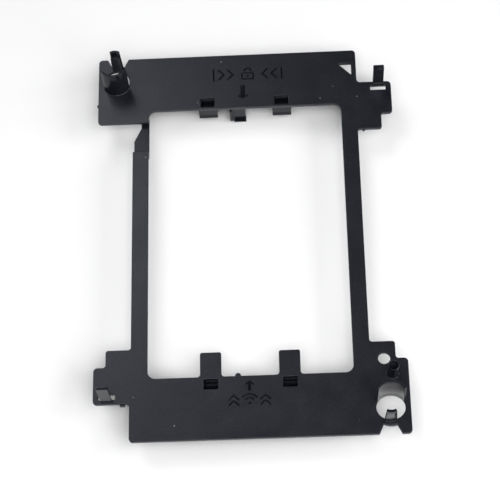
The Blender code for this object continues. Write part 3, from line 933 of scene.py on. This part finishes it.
class Nodes:
    """Short calls that add and wire the shader nodes of one material."""

    def __init__(self, material):
        self.tree = material.node_tree
        self.place = self.add("ShaderNodeTexCoord").outputs["Object"]

    def add(self, kind, **settings):
        node = self.tree.nodes.new(kind)
        for key, value in settings.items():
            setattr(node, key, value)
        return node

    def wire(self, source, target):
        self.tree.links.new(source, target)

    def noise(self, size, detail, roughness=0.5):
        """Noise with features of about the size given, in millimetres."""
        mapping = self.add("ShaderNodeMapping")
        mapping.inputs["Scale"].default_value = [1.0 / (size * MM)] * 3
        self.wire(self.place, mapping.inputs["Vector"])
        texture = self.add("ShaderNodeTexNoise")
        texture.inputs["Scale"].default_value = 1.0
        texture.inputs["Detail"].default_value = detail
        texture.inputs["Roughness"].default_value = roughness
        self.wire(mapping.outputs["Vector"], texture.inputs["Vector"])
        return texture.outputs["Fac"]

    def ranged(self, value, low, high, to_low, to_high):
        """The value's stretch from low to high, spread over to_low to to_high."""
        node = self.add("ShaderNodeMapRange")
        for key, number in (("From Min", low), ("From Max", high), ("To Min", to_low), ("To Max", to_high)):
            node.inputs[key].default_value = number
        self.wire(value, node.inputs["Value"])
        return node.outputs["Result"]

    def maths(self, operation, a, b):
        node = self.add("ShaderNodeMath", operation=operation)
        for socket, value in zip(node.inputs, (a, b)):
            if isinstance(value, (int, float)):
                socket.default_value = value
            else:
                self.wire(value, socket)
        return node.outputs["Value"]

    def mixed(self, share, first, second):
        node = self.add("ShaderNodeMix", data_type="RGBA")
        self.wire(share, node.inputs["Factor"])
        for socket, value in ((node.inputs[6], first), (node.inputs[7], second)):
            if isinstance(value, tuple):
                socket.default_value = (*value, 1.0)
            else:
                self.wire(value, socket)
        return node.outputs[2]

    def bump(self, height, strength, distance, below=None):
        node = self.add("ShaderNodeBump")
        node.inputs["Strength"].default_value = strength
        node.inputs["Distance"].default_value = distance * MM
        self.wire(height, node.inputs["Height"])
        if below is not None:
            self.wire(below, node.inputs["Normal"])
        return node.outputs["Normal"]


def black_plastic(name, roughness, ior, grain, dusty):
    """Black moulded plastic: a fine eroded grain, a cloudy sheen, and a few specks of pale dust."""
    material, shader = new_material(name)
    nodes = Nodes(material)
    clouds = nodes.noise(9.0, 3.0)
    fine = nodes.noise(0.5, 4.0, 0.6)
    tone = nodes.mixed(nodes.ranged(clouds, 0.3, 0.7, 0.0, 1.0), *PLASTIC_TONES)
    tone = nodes.mixed(nodes.ranged(fine, 0.45, 0.75, 0.0, 0.6), tone, PLASTIC_GRAIN)
    if dusty:
        specks = nodes.add("ShaderNodeTexVoronoi", feature="F1")
        specks.inputs["Scale"].default_value = 1.0 / (DUST_SPACING * MM)
        nodes.wire(nodes.place, specks.inputs["Vector"])
        dot = nodes.ranged(specks.outputs["Distance"], 0.03, 0.055, 1.0, 0.0)
        few = nodes.ranged(nodes.noise(4.0, 1.0), 0.50, 0.55, 0.0, 0.9)
        tone = nodes.mixed(nodes.maths("MULTIPLY", dot, few), tone, DUST)
    nodes.wire(tone, shader.inputs["Base Color"])
    sheen = nodes.ranged(nodes.noise(5.0, 3.0), 0.3, 0.7, roughness - 0.03, roughness + 0.04)
    nodes.wire(sheen, shader.inputs["Roughness"])
    shader.inputs["IOR"].default_value = ior
    shader.inputs["Specular Tint"].default_value = PLASTIC_TINT
    coarse = nodes.bump(nodes.noise(2.4, 2.0), 0.25, 0.02)
    nodes.wire(nodes.bump(fine, grain, 0.02, coarse), shader.inputs["Normal"])
    return material


def white_table():
    """White laminate with a very faint mottle."""
    material, shader = new_material("white_laminate")
    nodes = Nodes(material)
    mottle = nodes.noise(60.0, 4.0)
    nodes.wire(nodes.mixed(mottle, *TABLE_TONES), shader.inputs["Base Color"])
    shader.inputs["Roughness"].default_value = TABLE_ROUGHNESS
    nodes.wire(nodes.bump(nodes.noise(1.5, 3.0), 0.05, 0.05), shader.inputs["Normal"])
    return material


def finish_with(piece, grained, polished):
    """Grained plate, with a smoother finish on what stands on it, hangs under it or is engraved in it."""
    piece.data.materials.clear()
    piece.data.materials.append(grained)
    piece.data.materials.append(polished)
    for face in piece.data.polygons:
        level = face.center.z / MM
        off_plate = level > PLATE_TOP + 0.02 or level < PLATE_BOTTOM - 0.05
        engraved = face.normal.z > FLAT_LIMIT and PLATE_BOTTOM < level < PLATE_TOP - 0.5 * MARK_DEPTH
        face.material_index = int(off_plate or engraved)


# The scene.

# The camera's angles are in degrees; it looks at a point on the plate's top, from a distance.
CAMERA_AZIMUTH = -4.64
CAMERA_ELEVATION = 65.69
CAMERA_ROLL = -6.38
CAMERA_DISTANCE = 420.0
CAMERA_TARGET = (0.60, -3.84)
CAMERA_LENS = 118.6
CAMERA_SENSOR = 36.0
CAMERA_NEAR = 10.0


def make_camera():
    azimuth, elevation, roll = (math.radians(a) for a in (CAMERA_AZIMUTH, CAMERA_ELEVATION, CAMERA_ROLL))
    flat = math.cos(elevation)
    back = Vector((-math.sin(azimuth) * flat, -math.cos(azimuth) * flat, math.sin(elevation)))
    side = Vector((0, 0, 1)).cross(back).normalized()
    up = back.cross(side)
    right = math.cos(roll) * side + math.sin(roll) * up
    top = math.cos(roll) * up - math.sin(roll) * side
    data = bpy.data.cameras.new("camera")
    data.sensor_width = CAMERA_SENSOR
    data.lens = CAMERA_LENS
    data.clip_start = CAMERA_NEAR * MM
    camera = link(bpy.data.objects.new("camera", data))
    place = Matrix((right, top, back)).transposed().to_4x4()
    place.translation = (Vector((*CAMERA_TARGET, PLATE_TOP)) + back * CAMERA_DISTANCE) * MM
    camera.matrix_world = place
    bpy.context.scene.camera = camera


# Soft lights all round: the name, the direction in degrees (right of the frame is 0, its latch end 90), the
# height in degrees and the power in watts.
SOFTBOXES = (
    ("front", 270, 62, 1.3),
    ("front_right_high", 315, 62, 1.0),
    ("front_right_low", 315, 35, 0.9),
    ("right", 0, 35, 1.4),
    ("left", 180, 35, 0.4),
    ("front_left", 225, 62, 0.4),
    ("back_left", 130, 55, 0.9),
)
SOFTBOX_DISTANCE = 600.0
SOFTBOX_SIDE = 280.0


def make_lights():
    for name, azimuth, height, watts in SOFTBOXES:
        azimuth, height = math.radians(azimuth), math.radians(height)
        flat = math.cos(height)
        out = Vector((flat * math.cos(azimuth), flat * math.sin(azimuth), math.sin(height)))
        data = bpy.data.lights.new(name, "AREA")
        data.size = SOFTBOX_SIDE * MM
        data.energy = watts
        light = link(bpy.data.objects.new(name, data))
        light.location = out * SOFTBOX_DISTANCE * MM
        light.rotation_euler = out.to_track_quat("Z", "Y").to_euler()


def make_backdrop():
    """White all round for the camera's own rays; only the softboxes light the frame."""
    world = bpy.data.worlds.new("backdrop")
    world.use_nodes = True
    nodes, links = world.node_tree.nodes, world.node_tree.links
    background = nodes["Background"]
    background.inputs["Color"].default_value = (1.0, 1.0, 1.0, 1.0)
    links.new(nodes.new("ShaderNodeLightPath").outputs["Is Camera Ray"], background.inputs["Strength"])
    bpy.context.scene.world = world


def make_table():
    mesh = bpy.data.meshes.new("table")
    work = bmesh.new()
    bmesh.ops.create_grid(work, x_segments=2, y_segments=2, size=TABLE_HALF_SIDE * MM)
    bmesh.ops.translate(work, vec=(0, 0, -TABLE_DROP * MM), verts=work.verts)
    work.to_mesh(mesh)
    work.free()
    table = link(bpy.data.objects.new("table", mesh))
    table.data.materials.append(white_table())


def dress(piece, node, materials):
    """Smooths and finishes a snap finger, bakes its place into its mesh and hides its node's CAD part."""
    piece = smooth(piece)
    finish_with(piece, *materials)
    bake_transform(piece)
    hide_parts(node)


def build():
    materials = (
        black_plastic("grained_plastic", roughness=0.34, ior=1.5, grain=0.8, dusty=True),
        black_plastic("smooth_plastic", roughness=0.16, ior=1.3, grain=0.1, dusty=False),
    )
    plate = make_plate()
    finish_with(plate, *materials)
    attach(plate, "frame_body")
    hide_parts("carrier_frame")

    standing = (
        ("guide_finger_push_end", NO_TURN, make_guide_finger),
        ("guide_finger_latch_end", HALF_TURN, make_guide_finger),
        ("edge_hook_latch_end", NO_TURN, make_edge_hook),
        ("edge_hook_push_end", HALF_TURN, make_edge_hook),
    )
    for node, turn, make in standing:
        x, y, _ = pivot_of(node)
        piece = make(turn, node + "_moulding")
        dress(piece, node, materials)
    for side, x in (("left", -CATCH_X), ("right", CATCH_X)):
        node = "latch_hook_" + side
        hanging = make_latch_hook(x, node + "_moulding")
        y = pivot_of(node).y
        dress(hanging, node, materials)
        node = "push_tab_" + side
        tab = make_push_tab(x, node + "_moulding")
        dress(tab, node, materials)
    x, y, _ = pivot_of("centre_latch")
    latch = make_centre_latch("centre_latch_moulding")
    dress(latch, "centre_latch", materials)


build()
make_table()
make_lights()
make_backdrop()
make_camera()
bpy.context.scene.view_settings.view_transform = "Standard"
